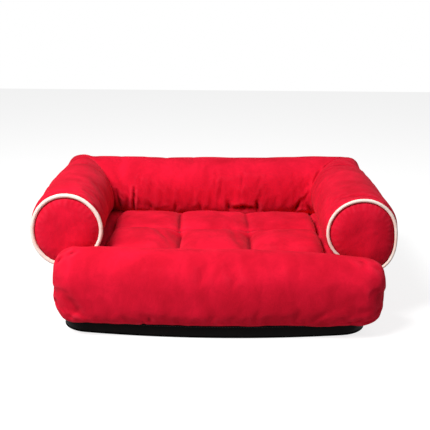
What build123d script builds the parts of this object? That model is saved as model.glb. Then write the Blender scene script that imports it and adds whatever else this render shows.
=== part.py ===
from build123d import *
import os

# A sofa-shaped bed for a small dog, in millimetres.
# X runs to the right as seen from the front, Y to the back and Z up.
# The origin is on the floor, under the middle of the bed.

# The whole bed
overall_width = 600
overall_depth = 474
overall_height = 216
side_overhang = 50
rear_overhang = 47
front_overhang = 17

# Cloth, and the gaps between sewn pieces
cover_thickness = 1.5
base_cloth_thickness = 1
stuffing_gap = 0.3
seam_gap = 0.3
overrun = 10

# Base: a foam pad in a low waterproof band
base_height = 25
base_front_corner_radius = 50
base_front_bow = 24

# Arms and back: three stuffed rolls of one size, mitred at the rear corners
roll_radius = 58
roll_swell = 1.5
roll_hem = 4

# Round front ends of the arms, edged with piping
piping_radius = 3.25
cap_crown = 9
cap_crown_share_of_filling = 0.9

# Front bolster: the low stuffed wall in front of the seat
bolster_length = 526
bolster_depth = 87
bolster_height = 116
bolster_to_arm_gap = 4
bolster_corner_share = 0.44
# Three stretches, each with its places along the half length and the depth and height there
bolster_stretch_shares = (
    ((-1, 0.58, 0.66), (-0.97, 0.82, 0.85), (-0.88, 0.97, 0.97)),
    ((-0.88, 0.97, 0.97), (0, 1, 1), (0.88, 0.97, 0.97)),
    ((0.88, 0.97, 0.97), (0.97, 0.82, 0.85), (1, 0.58, 0.66)),
)

# Walls that carry the rolls, each with a saddle that a roll lies in
wall_thickness = 66
wall_height = 85
wall_edge_radius = 14

# Loose seat cushion with sewn puffs, three across and two deep
puffs_deep = 2
cushion_thickness = 103
valley_depth = 18
cushion_edge_height = 48
cushion_side_gap = 1.7
cushion_front_gap = 5
cushion_rear_gap = 5.5
cushion_foot_inset = 12
cushion_foot_bulge = 3
shoulder_run = 26
shoulder_drop = 9
shoulder_bulge = 15
row_seam_crown = 4
row_seam_draw = 4
end_face_rise = 14
end_face_height = 58
end_face_draw = 9
end_crown_share = 0.35

# Tufts: thread that ties the cushion's top to its bottom where seams cross
tuft_radius = 1.2
tuft_knot_radius = 2.2
tuft_knot_height = 1.2
tuft_knot_lift = 0.8

# Zips: a nylon coil on two tapes, with metal end stops and a slider
zip_margin = 50
rear_zip_height = 30
tape_width = 14
tape_thickness = 0.8
tape_overhang = 8
coil_width = 2.9
coil_height = 2.2
coil_edge_radius = 0.8
coil_gap = 0.3
stop_length = 3
stop_height = 2.8
slider_length = 12
slider_plate = 1.2
slider_side = 1.3
slider_edge_radius = 0.5
slider_clearance = 0.3

# Pull tab, hung under the slider's bridge
bridge_length = 9
bridge_width = 2.6
bridge_beam = 1
bridge_post = 1.2
bridge_opening = 2.2
pin_radius = 0.7
pull_length = 24
pull_width = 7
pull_thickness = 1.2
pull_arm = 1.2
pull_window = 6.5
pull_corner_radius = 2

# Places that follow from the sizes above
front_y = -overall_depth / 2
rear_y = overall_depth / 2
half_base = overall_width / 2 - side_overhang
base_front_y = front_y + front_overhang
base_rear_y = rear_y - rear_overhang
floor_of_seat = base_height + seam_gap
arm_x = overall_width / 2 - roll_radius
roll_z = overall_height - roll_radius
back_y = rear_y - roll_radius
bolster_rear_y = front_y + bolster_depth
cap_y = bolster_rear_y + bolster_to_arm_gap
arm_front_y = cap_y + piping_radius + seam_gap
piping_ring_radius = roll_radius - piping_radius
cap_radius = piping_ring_radius - piping_radius - seam_gap
wall_top = floor_of_seat + wall_height
wall_front_y = bolster_rear_y + seam_gap
wall_inner_x = half_base - wall_thickness
back_wall_front_y = base_rear_y - wall_thickness
cushion_half_width = arm_x - roll_radius - cushion_side_gap
cushion_front_y = bolster_rear_y + cushion_front_gap
cushion_rear_y = back_y - roll_radius - cushion_rear_gap
cushion_seam_z = floor_of_seat + cushion_edge_height
valley_x = cushion_half_width / 3
row_depth = (cushion_rear_y - cushion_front_y) / puffs_deep
rear_zip_length = 2 * (wall_inner_x - zip_margin)
cushion_zip_length = 2 * (cushion_half_width - end_face_draw - zip_margin)

# The two faces on which an arm and the back roll meet
left_mitre = Plane(origin=(-arm_x, back_y, 0), z_dir=(1, 1, 0))
right_mitre = Plane(origin=(arm_x, back_y, 0), z_dir=(-1, 1, 0))


def save(node, shape):
    export_step(shape, f"parts/{node}.step")


def mirrored(shape):
    return mirror(shape, about=Plane.YZ)


def save_pair(name, left):
    save(f"left_{name}", left)
    save(f"right_{name}", mirrored(left))


def everything_below(z):
    """A block that holds all that lies under a height."""
    return Pos(0, 0, z - overall_height / 2) * Box(overall_width, overall_depth, overall_height)


def base_outline(inset):
    """The plan of the base, with a bowed front edge and round corners."""
    side = half_base - inset
    rear = base_rear_y - inset
    corner_y = base_front_y + base_front_bow + inset
    front = ThreePointArc((-side, corner_y), (0, base_front_y + inset), (side, corner_y))
    rest = Polyline((side, corner_y), (side, rear), (-side, rear), (-side, corner_y))
    plan = make_face([front, rest])
    plan = fillet(plan.vertices().sort_by(Axis.Y)[:2], base_front_corner_radius - inset)
    return fillet(plan.vertices().sort_by(Axis.Y)[-2:], wall_edge_radius - inset)


def base_layer(bottom, top, inset):
    return Pos(0, 0, bottom) * extrude(base_outline(inset), top - bottom)


def base():
    deck = base_height - base_cloth_thickness
    band = base_layer(base_cloth_thickness, deck, 0)
    band -= base_layer(base_cloth_thickness, deck, base_cloth_thickness)
    inside = base_cloth_thickness + stuffing_gap
    save("base_bottom_cloth", base_layer(0, base_cloth_thickness, 0))
    save("base_side_band", band)
    save("base_foam_pad", base_layer(base_cloth_thickness, deck, inside))
    save("deck_cloth", base_layer(deck, base_height, 0))


def roll(start, end, swell_start, swell_end, inset):
    """A stuffed roll along X, fullest in the middle of its swollen stretch."""
    end_radius = roll_radius - roll_swell - inset
    middle = ((swell_start + swell_end) / 2, roll_radius - inset)
    swell = ThreePointArc((swell_start, end_radius), middle, (swell_end, end_radius))
    rest = Polyline(
        (swell_start, end_radius), (start, end_radius), (start, 0),
        (end, 0), (end, end_radius), (swell_end, end_radius),
    )
    return revolve(make_face([swell, rest]), Axis.X)


def on_arm(shape):
    """Takes a shape made along X, with Y's zero at X's zero, to the left arm's axis."""
    return Pos(-arm_x, 0, roll_z) * Rot(0, 0, 90) * shape


def arm_form(start, inset):
    corner = back_y - roll_radius
    form = on_arm(roll(start, rear_y + overrun, arm_front_y + roll_hem, corner, inset))
    return split(form, bisect_by=left_mitre.offset(-seam_gap / 2 - inset), keep=Keep.BOTTOM)


def back_form(inset):
    corner = arm_x - roll_radius
    reach = arm_x + roll_radius + overrun
    form = Pos(0, back_y, roll_z) * roll(-reach, reach, -corner, corner, inset)
    for mitre in (left_mitre, right_mitre):
        form = split(form, bisect_by=mitre.offset(seam_gap / 2 + inset), keep=Keep.TOP)
    return form


def cap_skin():
    """The domed cloth disc on an arm's front end."""
    front = cap_y - cover_thickness / 2
    back = front + cover_thickness
    outer = TangentArc((front - cap_crown, 0), (front, cap_radius), tangent=(0, 1))
    inner = TangentArc((back - cap_crown, 0), (back, cap_radius), tangent=(0, 1))
    rim = Line((front, cap_radius), (back, cap_radius))
    middle = Line((front - cap_crown, 0), (back - cap_crown, 0))
    return on_arm(revolve(make_face([outer, rim, inner, middle]), Axis.X))


def arm_filling():
    """Fibre that fills the arm and swells into its domed front end."""
    inset = cover_thickness + stuffing_gap
    body = arm_form(arm_front_y, inset)
    rim = cap_y + cover_thickness / 2 + stuffing_gap
    crown = cap_crown * cap_crown_share_of_filling
    inside = arm_front_y + roll_hem
    dome = TangentArc((rim - crown, 0), (rim, cap_radius - inset), tangent=(0, 1))
    rest = Polyline((rim, cap_radius - inset), (inside, cap_radius - inset), (inside, 0), (rim - crown, 0))
    return body + on_arm(revolve(make_face([dome, rest]), Axis.X))


def arms():
    cover = arm_form(arm_front_y, 0) - arm_form(arm_front_y - overrun, cover_thickness)
    ring = Torus(piping_ring_radius, piping_radius)
    save_pair("arm_cover", cover)
    save_pair("arm_filling", arm_filling())
    save_pair("arm_front_cap", cap_skin())
    save_pair("arm_front_piping", Pos(-arm_x, cap_y, roll_z) * Rot(90, 0, 0) * ring)


def back_roll():
    save("back_roll_cover", back_form(0) - back_form(cover_thickness))
    save("back_roll_filling", back_form(cover_thickness + stuffing_gap))


def bolster_section(along_share, depth_share, height_share, inset):
    depth = bolster_depth * depth_share - 2 * inset
    height = bolster_height * height_share - 2 * inset
    middle = Pos(front_y + bolster_depth / 2, floor_of_seat + bolster_height / 2)
    along = along_share * (bolster_length / 2 - inset)
    return Plane.YZ.offset(along) * middle * RectangleRounded(depth, height, bolster_corner_share * depth)


def bolster_form(inset):
    """The front bolster: a long full middle, two rounded ends and a flat foot on the deck."""
    form = None
    for stretch_shares in bolster_stretch_shares:
        stretch = loft([bolster_section(*shares, inset) for shares in stretch_shares])
        form = stretch if form is None else form + stretch
    return form - everything_below(floor_of_seat + inset)


def front_bolster():
    save("front_bolster_cover", bolster_form(0) - bolster_form(cover_thickness))
    save("front_bolster_filling", bolster_form(cover_thickness + stuffing_gap))


def saddles(inset):
    """The straight hollows that an arm and the back roll press into the walls."""
    radius = roll_radius + seam_gap + inset
    arm = Pos(-arm_x, 0, roll_z) * Rot(90, 0, 0) * Cylinder(radius, overall_depth + overrun)
    back = Pos(0, back_y, roll_z) * Rot(0, 90, 0) * Cylinder(radius, overall_width + overrun)
    return [arm, back]


def wall_block(low_x, high_x, low_y, high_y, inset):
    """A stuffed wall with rounded edges, hollowed on top where the rolls lie."""
    size_x = high_x - low_x - 2 * inset
    size_y = high_y - low_y - 2 * inset
    size_z = wall_top - floor_of_seat - 2 * inset
    block = Box(size_x, size_y, size_z)
    block = fillet(block.edges(), wall_edge_radius - inset)
    middle = ((low_x + high_x) / 2, (low_y + high_y) / 2, (floor_of_seat + wall_top) / 2)
    block = Pos(*middle) * block
    for saddle in saddles(inset):
        block -= saddle
    return block


def walls():
    side = (-half_base, -wall_inner_x, wall_front_y, base_rear_y)
    back_end = wall_inner_x - seam_gap
    back = (-back_end, back_end, back_wall_front_y, base_rear_y)
    inside = cover_thickness + stuffing_gap
    save_pair("side_wall_cover", wall_block(*side, 0) - wall_block(*side, cover_thickness))
    save_pair("side_wall_foam", wall_block(*side, inside))
    save("back_wall_cover", wall_block(*back, 0) - wall_block(*back, cover_thickness))
    save("back_wall_foam", wall_block(*back, inside))


def cushion_section(y, draw, crown_z, valley_z, edge_z, foot_z, inset):
    """Half-outlines of arcs: foot, side, shoulder and three puffs, in a plane across the bed."""
    half = cushion_half_width - draw - inset
    foot = half - cushion_foot_inset
    shoulder_x = half - shoulder_run
    shoulder_z = crown_z - (crown_z - edge_z) * shoulder_drop / (cushion_thickness - cushion_edge_height)
    side_z = (foot_z + edge_z) / 2
    side_x = (foot + half) / 2 + cushion_foot_bulge
    bulge_x = (half + shoulder_x) / 2 + shoulder_bulge * (shoulder_z - edge_z) / cushion_thickness
    bulge_z = (edge_z + shoulder_z) / 2 + shoulder_bulge * (crown_z - edge_z) / cushion_thickness
    puff_x = (shoulder_x + valley_x) / 2
    right = [
        ThreePointArc((foot, foot_z), (side_x, side_z), (half, edge_z)),
        ThreePointArc((half, edge_z), (bulge_x, bulge_z), (shoulder_x, shoulder_z)),
        ThreePointArc((shoulder_x, shoulder_z), (puff_x, crown_z), (valley_x, valley_z)),
    ]
    middle = ThreePointArc((valley_x, valley_z), (0, crown_z), (-valley_x, valley_z))
    left = [
        ThreePointArc((-valley_x, valley_z), (-puff_x, crown_z), (-shoulder_x, shoulder_z)),
        ThreePointArc((-shoulder_x, shoulder_z), (-bulge_x, bulge_z), (-half, edge_z)),
        ThreePointArc((-half, edge_z), (-side_x, side_z), (-foot, foot_z)),
    ]
    bottom = Line((-foot, foot_z), (foot, foot_z))
    across = Plane(origin=(0, y, 0), x_dir=(1, 0, 0), z_dir=(0, -1, 0))
    return across * make_face(right + [middle] + left + [bottom])


def cushion_form(inset):
    """The seat cushion: each row of puffs is a loft from seam over crown to seam."""
    bottom = floor_of_seat + inset
    crown = floor_of_seat + cushion_thickness - inset
    valley = crown - valley_depth
    end_low = floor_of_seat + end_face_rise + inset
    end_top = end_low + end_face_height - 2 * inset
    end_valley = end_top - valley_depth * end_crown_share
    end_edge = (end_low + end_top) / 2
    form = None
    for row in range(puffs_deep):
        near, far = cushion_front_y + row * row_depth, cushion_front_y + (row + 1) * row_depth
        sections = []
        for y, step in ((near, 0), ((near + far) / 2, 1), (far, 2)):
            at_front = row == 0 and step == 0
            at_rear = row == puffs_deep - 1 and step == 2
            if at_front or at_rear:
                place = y + inset if at_front else y - inset
                heights = (end_top, end_valley, end_edge, end_low)
                sections.append(cushion_section(place, end_face_draw, *heights, inset))
            elif step == 1:
                heights = (crown, valley, cushion_seam_z, bottom)
                sections.append(cushion_section(y, 0, *heights, inset))
            else:
                heights = (valley + row_seam_crown, valley, cushion_seam_z, bottom)
                sections.append(cushion_section(y, row_seam_draw, *heights, inset))
        part = loft(sections)
        form = part if form is None else form + part
    return form - everything_below(bottom)


def above_seam(height_share):
    """A slab that holds all of the cushion above, or with a share of -1 below, its side seam."""
    width = 2 * cushion_half_width + 2 * overrun
    depth = cushion_rear_y - cushion_front_y + 2 * overrun
    height = cushion_thickness + overrun
    middle_y = (cushion_front_y + cushion_rear_y) / 2
    return Pos(0, middle_y, cushion_seam_z + height_share * height / 2) * Box(width, depth, height)


def tuft_places():
    rows = [cushion_front_y + row * row_depth for row in range(1, puffs_deep)]
    return [(x, y) for y in rows for x in (-valley_x, valley_x)]


def cushion():
    skin = cushion_form(0) - cushion_form(cover_thickness)
    filling = cushion_form(cover_thickness + stuffing_gap)
    top = skin & above_seam(1)
    bottom = skin & above_seam(-1)
    valley_top = floor_of_seat + cushion_thickness - valley_depth
    foot = floor_of_seat
    ties = []
    for x, y in tuft_places():
        hole = Pos(x, y, (foot + valley_top) / 2) * Cylinder(
            tuft_radius + seam_gap, valley_top - foot + 2 * overrun
        )
        top, bottom, filling = top - hole, bottom - hole, filling - hole
        shank = valley_top - foot + seam_gap + tuft_knot_lift
        tie = Pos(x, y, foot + shank / 2) * Cylinder(tuft_radius, shank)
        knot = Pos(x, y, foot + shank + tuft_knot_height / 2) * Cylinder(tuft_knot_radius, tuft_knot_height)
        ties.append(tie + knot)
    save("cushion_top_cover", top)
    save("cushion_bottom_cover", bottom)
    save("cushion_filling", filling)
    save("cushion_tuft_ties", Compound(children=ties))


def zip_tapes(length):
    """Two tapes side by side, in a frame with the track along X and the face at Y zero."""
    tape = Box(length + 2 * tape_overhang, tape_thickness, tape_width)
    side = (coil_gap + tape_width) / 2
    return [Pos(0, tape_thickness / 2, z) * tape for z in (side, -side)]


def zip_coils(length):
    row = Box(length, coil_height, coil_width)
    row = fillet(row.edges().filter_by(Axis.X).sort_by(Axis.Y)[-2:], coil_edge_radius)
    side = (coil_gap + coil_width) / 2
    return [Pos(0, tape_thickness + coil_height / 2, z) * row for z in (side, -side)]


def zip_stops(length):
    width = 2 * coil_width + coil_gap
    stop = Box(stop_length, stop_height, width)
    along = (length + stop_length) / 2
    return [Pos(x, tape_thickness + stop_height / 2, 0) * stop for x in (-along, along)]


def slider_top():
    """How far the slider's plate stands from the face that carries the zip."""
    return tape_thickness + coil_height + slider_clearance + slider_plate


def zip_slider(length):
    """The slider's plate and sides, at the closed end of its track."""
    low = tape_thickness + slider_clearance
    channel = 2 * coil_width + coil_gap + 2 * slider_clearance
    height = slider_top() - low
    body = Pos(0, low + height / 2, 0) * Box(slider_length, height, channel + 2 * slider_side)
    body = fillet(body.edges().filter_by(Axis.Y), slider_edge_radius)
    tunnel = coil_height
    body -= Pos(0, low + tunnel / 2, 0) * Box(slider_length + overrun, tunnel, channel)
    return Pos(slider_rest(length), 0, 0) * body


def slider_rest(length):
    return (length - slider_length) / 2 - slider_clearance


def slider_bridge(length):
    """An arch along the track, under which the pull tab's pin turns."""
    top = slider_top()
    posts = bridge_opening + bridge_beam
    arch = Pos(0, top + posts / 2, 0) * Box(bridge_length, posts, bridge_width)
    gap = bridge_length - 2 * bridge_post
    arch -= Pos(0, top + bridge_opening / 2, 0) * Box(gap, bridge_opening, bridge_width)
    return Pos(slider_rest(length), 0, 0) * arch


def pull_tab(length):
    """A flat tab with a window round the bridge and a pin under it, lying along the track."""
    pin_y = slider_top() + bridge_opening / 2
    inside = bridge_width / 2 + slider_clearance
    plate_from = pull_window
    plate = Box(pull_length - plate_from, pull_thickness, pull_width)
    plate = fillet(plate.edges().filter_by(Axis.Y).sort_by(Axis.X)[-2:], pull_corner_radius)
    tab = Pos((pull_length + plate_from) / 2, 0, 0) * plate
    for side in (-1, 1):
        arm = Box(plate_from + pin_radius, pull_thickness, pull_arm)
        tab += Pos((plate_from - pin_radius) / 2, 0, side * (inside + pull_arm / 2)) * arm
    tab += Cylinder(pin_radius, 2 * inside)
    return Pos(slider_rest(length), pin_y, 0) * tab


def rear_zip():
    place = Pos(0, base_rear_y, floor_of_seat + rear_zip_height)
    save("rear_zip_tapes", Compound(children=[place * t for t in zip_tapes(rear_zip_length)]))
    save("rear_zip_coil_rows", Compound(children=[place * c for c in zip_coils(rear_zip_length)]))
    save("rear_zip_end_stops", Compound(children=[place * s for s in zip_stops(rear_zip_length)]))
    save("rear_zip_slider", place * (zip_slider(rear_zip_length) + slider_bridge(rear_zip_length)))
    save("rear_zip_pull_tab", place * pull_tab(rear_zip_length))


def cushion_zip():
    place = Pos(0, cushion_rear_y, floor_of_seat + end_face_rise + end_face_height / 2)
    save("cushion_zip_tapes", Compound(children=[place * t for t in zip_tapes(cushion_zip_length)]))
    save("cushion_zip_coil_rows", Compound(children=[place * c for c in zip_coils(cushion_zip_length)]))
    save("cushion_zip_end_stops", Compound(children=[place * s for s in zip_stops(cushion_zip_length)]))
    save("cushion_zip_slider", place * zip_slider(cushion_zip_length))


base()
walls()
arms()
back_roll()
front_bolster()
cushion()
rear_zip()
cushion_zip()
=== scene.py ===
import math

import bmesh
import bpy
import numpy as np
from mathutils import Matrix, Vector, noise


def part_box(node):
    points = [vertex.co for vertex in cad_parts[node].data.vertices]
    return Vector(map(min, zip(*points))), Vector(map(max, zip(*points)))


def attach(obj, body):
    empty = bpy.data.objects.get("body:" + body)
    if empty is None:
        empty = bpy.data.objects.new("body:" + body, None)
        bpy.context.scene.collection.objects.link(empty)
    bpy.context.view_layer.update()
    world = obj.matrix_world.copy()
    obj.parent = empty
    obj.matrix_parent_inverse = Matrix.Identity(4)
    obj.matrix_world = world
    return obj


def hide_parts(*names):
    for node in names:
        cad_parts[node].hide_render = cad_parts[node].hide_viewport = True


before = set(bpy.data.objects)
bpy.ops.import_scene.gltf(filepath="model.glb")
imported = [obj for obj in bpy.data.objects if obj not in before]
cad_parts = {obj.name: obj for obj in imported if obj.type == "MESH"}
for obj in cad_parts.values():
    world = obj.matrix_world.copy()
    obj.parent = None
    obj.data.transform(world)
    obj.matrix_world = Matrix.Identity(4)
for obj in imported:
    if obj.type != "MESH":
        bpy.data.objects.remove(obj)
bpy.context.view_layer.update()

scene = bpy.context.scene
scene.view_settings.view_transform = "Standard"

# The photographer's camera. It stands in front of the middle of the bed, a little right of it, and looks
# slightly down on it from about a metre and a quarter away.
look_distance = 1.235
look_target_y = -0.146
look_height = 0.539
look_down = math.radians(74)
look_turn = math.radians(0.73)
look_roll = math.radians(0.4)
camera_data = bpy.data.cameras.new("photo_camera")
camera_data.sensor_width = 36
camera_data.lens = 66
camera = bpy.data.objects.new("photo_camera", camera_data)
scene.collection.objects.link(camera)
camera_place = Matrix.Translation((
    look_distance * math.sin(look_turn),
    look_target_y - look_distance * math.cos(look_turn),
    look_height,
))
camera.matrix_world = (
    camera_place @ Matrix.Rotation(look_turn, 4, "Z")
    @ Matrix.Rotation(look_down, 4, "X") @ Matrix.Rotation(look_roll, 4, "Z")
)
scene.camera = camera


# The studio. A white paper sweep lies under the bed, one large softbox stands at the upper left in front of it,
# and a weak one above the right rear opens the shadows.
def linear(code):
    """The linear colour of an sRGB hex code."""
    parts = [int(code[i:i + 2], 16) / 255 for i in (1, 3, 5)]
    return [p / 12.92 if p <= 0.04045 else ((p + 0.055) / 1.055) ** 2.4 for p in parts] + [1]


def feed(node, inputs):
    """Sets a node's inputs. Each is a number, a colour or the output that feeds it."""
    for name, value in inputs.items():
        if isinstance(value, bpy.types.NodeSocket):
            node.id_data.links.new(value, node.inputs[name])
        else:
            node.inputs[name].default_value = value


def add(tree, kind, settings=None, inputs=None):
    node = tree.nodes.new(kind)
    for name, value in (settings or {}).items():
        setattr(node, name, value)
    feed(node, inputs or {})
    return node


def new_material(name):
    """A material with its tree, its shader and the object's own coordinates."""
    material = bpy.data.materials.new(name)
    material.use_nodes = True
    tree = material.node_tree
    tree.nodes.clear()
    shader = add(tree, "ShaderNodeBsdfPrincipled")
    add(tree, "ShaderNodeOutputMaterial", inputs={"Surface": shader.outputs[0]})
    return material, tree, shader, add(tree, "ShaderNodeTexCoord").outputs["Object"]


def combined(tree, operation, one, other):
    return add(tree, "ShaderNodeMath", {"operation": operation}, {0: one, 1: other}).outputs[0]


def two_faced(tree, output, lit, seen):
    """Ends a tree in one shader for light that falls on it, and another where the camera or a gloss sees it."""
    ray = add(tree, "ShaderNodeLightPath").outputs
    seen_by = combined(tree, "MAXIMUM", ray["Is Camera Ray"], ray["Is Glossy Ray"])
    seen_by = combined(tree, "MAXIMUM", seen_by, ray["Is Transmission Ray"])
    mix = add(tree, "ShaderNodeMixShader", inputs={0: seen_by, 1: lit.outputs[0], 2: seen.outputs[0]})
    add(tree, output, inputs={"Surface": mix.outputs[0]})


floor_size = 6
white = (1, 1, 1, 1)
paper = bpy.data.materials.new("studio_paper")
paper.use_nodes = True
tree = paper.node_tree
tree.nodes.clear()
matt = add(tree, "ShaderNodeBsdfDiffuse", inputs={"Color": linear("#A8A8A8")})
pale = add(tree, "ShaderNodeBsdfDiffuse", inputs={"Color": linear("#A0A0A0")})
glow = add(tree, "ShaderNodeEmission", inputs={"Color": white, "Strength": 0.8})
bright = add(tree, "ShaderNodeAddShader", inputs={0: pale.outputs[0], 1: glow.outputs[0]})
two_faced(tree, "ShaderNodeOutputMaterial", matt, bright)
floor_mesh = bpy.data.meshes.new("paper_floor")
h = floor_size / 2
floor_mesh.from_pydata([(-h, -h, 0), (h, -h, 0), (h, h, 0), (-h, h, 0)], [], [(0, 1, 2, 3)])
floor = bpy.data.objects.new("paper_floor", floor_mesh)
floor_mesh.materials.append(paper)
scene.collection.objects.link(floor)

world = bpy.data.worlds.new("studio_room")
scene.world = world
world.use_nodes = True
tree = world.node_tree
tree.nodes.clear()
dim, full = (add(tree, "ShaderNodeBackground", inputs={"Color": white, "Strength": s}) for s in (0.17, 1))
two_faced(tree, "ShaderNodeOutputWorld", dim, full)

lamp_target = Vector((0, 0, 0.12))
for lamp_name, lamp_place, lamp_size, lamp_power in (
    ("softbox_left", (-0.8, -0.95, 1.55), 0.7, 45),
    ("softbox_above", (0.9, 0.2, 1.6), 1.0, 4.5),
):
    lamp_data = bpy.data.lights.new(lamp_name, "AREA")
    lamp_data.size = lamp_size
    lamp_data.energy = lamp_power
    lamp = bpy.data.objects.new(lamp_name, lamp_data)
    aim = lamp_target - Vector(lamp_place)
    lamp.matrix_world = Matrix.Translation(lamp_place) @ aim.to_track_quat("-Z", "Y").to_matrix().to_4x4()
    scene.collection.objects.link(lamp)


# The base. A foam pad is sewn into black coated oxford cloth: a bottom panel with rubber dots, a band round the
# sides and a deck panel, on which the seat cushion lies. Its front edge bows out and its front corners are round.
def shade_smooth(mesh):
    mesh.polygons.foreach_set("use_smooth", [True] * len(mesh.polygons))


def object_of(name, mesh, material):
    piece = bpy.data.objects.new(name, mesh)
    scene.collection.objects.link(piece)
    mesh.materials.clear()
    mesh.materials.append(material)
    shade_smooth(mesh)
    return piece


def skin(name, rows, material, closed_ring=True, looped=False):
    """A mesh on rows of points. Each row may close on itself, and the last row on the first."""
    count, across = rows.shape[:2]
    faces = []
    for i in range(count if looped else count - 1):
        for j in range(across if closed_ring else across - 1):
            here, there = i * across, (i + 1) % count * across
            k = (j + 1) % across
            faces.append((here + j, here + k, there + k, there + j))
    mesh = bpy.data.meshes.new(name)
    mesh.from_pydata([tuple(p) for p in rows.reshape(-1, 3)], [], faces)
    close(mesh)
    return object_of(name, mesh, material)


def close(mesh, fill=False):
    """Points all faces outwards, and can fill the open ends."""
    body = bmesh.new()
    body.from_mesh(mesh)
    if fill:
        rim = [edge for edge in body.edges if edge.is_boundary]
        bmesh.ops.holes_fill(body, edges=rim, sides=0)
    bmesh.ops.recalc_face_normals(body, faces=body.faces)
    if body.calc_volume(signed=True) < 0:
        bmesh.ops.reverse_faces(body, faces=body.faces)
    body.to_mesh(mesh)
    body.free()


def points_of(piece, kind="co"):
    """A piece's points, or with "normal" the ways they face, one a row."""
    where = np.empty(len(piece.data.vertices) * 3, np.float32)
    piece.data.vertices.foreach_get(kind, where)
    return where.reshape(-1, 3).astype(float)


def put_points(piece, where):
    piece.data.vertices.foreach_set("co", where.astype(np.float32).ravel())
    piece.data.update()


def swell(piece, by):
    """Moves each point of a piece by that much along its own normal, and gives the new points."""
    where = points_of(piece) + points_of(piece, "normal") * by[:, None]
    put_points(piece, where)
    return where


def ease(t):
    """A soft step from 0 to 1."""
    t = np.clip(t, 0, 1)
    return t * t * (3 - 2 * t)


def full_turn(count):
    return np.linspace(0, 2 * math.pi, count, endpoint=False)


def waves(where, size, seed):
    """Smooth noise from -1 to 1 at each point, with waves of about that size."""
    return np.array([noise.noise(Vector(p) / size + Vector((seed, 7.3 * seed, 3.1))) for p in where])


def baked(piece):
    """Turns a piece's modifiers into its plain mesh."""
    mesh = bpy.data.meshes.new_from_object(piece.evaluated_get(bpy.context.evaluated_depsgraph_get()))
    piece.modifiers.clear()
    piece.data = mesh


def rounder(piece):
    """Subdivides a piece once and fills its open ends."""
    smooth = piece.modifiers.new("rounder", "SUBSURF")
    smooth.levels = smooth.render_levels = 1
    baked(piece)
    close(piece.data, fill=True)


def mark_shade_and_highlight(piece):
    """Writes how hollow (1) or proud (-1) each point of the cloth is, for painted shade in the hollows and a painted
    highlight on proud points in the colours.
    """
    sharpest = 60
    mesh = piece.data
    ends = np.empty(len(mesh.edges) * 2, np.int32)
    mesh.edges.foreach_get("vertices", ends)
    ends = ends.reshape(-1, 2)
    where, way = points_of(piece), points_of(piece, "normal")
    degree = np.bincount(ends.ravel(), minlength=len(where)).clip(1)
    around, spread = np.zeros_like(where), np.zeros(len(where))
    step = where[ends[:, 1]] - where[ends[:, 0]]
    size = (step ** 2).sum(axis=1)
    for near, sign in ((0, 1), (1, -1)):
        np.add.at(around, ends[:, near], sign * step)
        np.add.at(spread, ends[:, near], size)
    hollow = (around * way).sum(axis=1) / spread.clip(1e-12) / sharpest
    for _ in range(3):
        total = np.zeros(len(where))
        for near in (0, 1):
            np.add.at(total, ends[:, near], hollow[ends[:, 1 - near]])
        hollow = (hollow + total / degree) / 2
    # The attribute carries painted shade where it is positive, in hollows, and a painted highlight where it is
    # negative, on proud points.
    mesh.attributes.new("painted_shade_and_highlight", "FLOAT", "POINT").data.foreach_set("value", hollow.clip(-1, 1).astype(np.float32))


wave_repeat = 0.314


def bands(tree, where, way, gap, **more):
    """Threads or ribs that far apart across one axis, from a wave's repeat in metres at scale 1."""
    inputs = {"Vector": where, "Scale": wave_repeat / gap, **more}
    return add(tree, "ShaderNodeTexWave", {"bands_direction": way}, inputs).outputs["Fac"]


def clouds(tree, where, scale, detail, **more):
    inputs = {"Vector": where, "Scale": scale, "Detail": detail, **more}
    return add(tree, "ShaderNodeTexNoise", inputs=inputs).outputs["Fac"]


def spaced(values):
    return {name.replace("_", " "): value for name, value in values.items()}


def ranged(tree, value, **ends):
    """A value moved to another range, with ends such as From_Min."""
    return add(tree, "ShaderNodeMapRange", inputs={"Value": value, **spaced(ends)}).outputs[0]


def ramp(tree, value, low, high, dark, light):
    """Runs from one colour at low to the other at high."""
    node = add(tree, "ShaderNodeValToRGB", inputs={"Fac": value})
    for spot, place, code in zip(node.color_ramp.elements, (low, high), (dark, light)):
        spot.position, spot.color = place, linear(code)
    return node.outputs[0]


def mixed(tree, share, one, other, **way):
    """One colour with a share of the other. Each is a hex code or an output."""
    one, other = (linear(c) if isinstance(c, str) else c for c in (one, other))
    return add(tree, "ShaderNodeMix", {"data_type": "RGBA", **way}, {0: share, 6: one, 7: other}).outputs[2]


def relief(tree, height, strength, distance, **below):
    inputs = {"Height": height, "Strength": strength, "Distance": distance, **below}
    return add(tree, "ShaderNodeBump", inputs=inputs).outputs[0]


def finish(shader, colour, normal, roughness, **more):
    """Gives a shader its inputs. The others are named with _ for a space."""
    feed(shader, {"Base Color": colour, "Normal": normal, "Roughness": roughness, **spaced(more)})


# Coated polyester oxford: a plain 600-denier weave under a thin PVC film, so it is black and dull with soft shine
# on its bends. The threads are 0.6 mm apart, drawn at 1.5 mm to show.
oxford, tree, shader, coords = new_material("coated_oxford_cloth")
warp, weft, deep = (bands(tree, coords, axis, 0.0015) for axis in "XZY")
weave = combined(tree, "ADD", combined(tree, "ADD", warp, weft), deep)
scuffs = clouds(tree, coords, 35, 4)
finish(shader, ramp(tree, scuffs, 0.35, 0.75, "#040202", "#0A0706"), relief(tree, weave, 0.25, 0.0002),
       ranged(tree, scuffs, To_Min=0.42, To_Max=0.62), Specular_IOR_Level=0.05)

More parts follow.
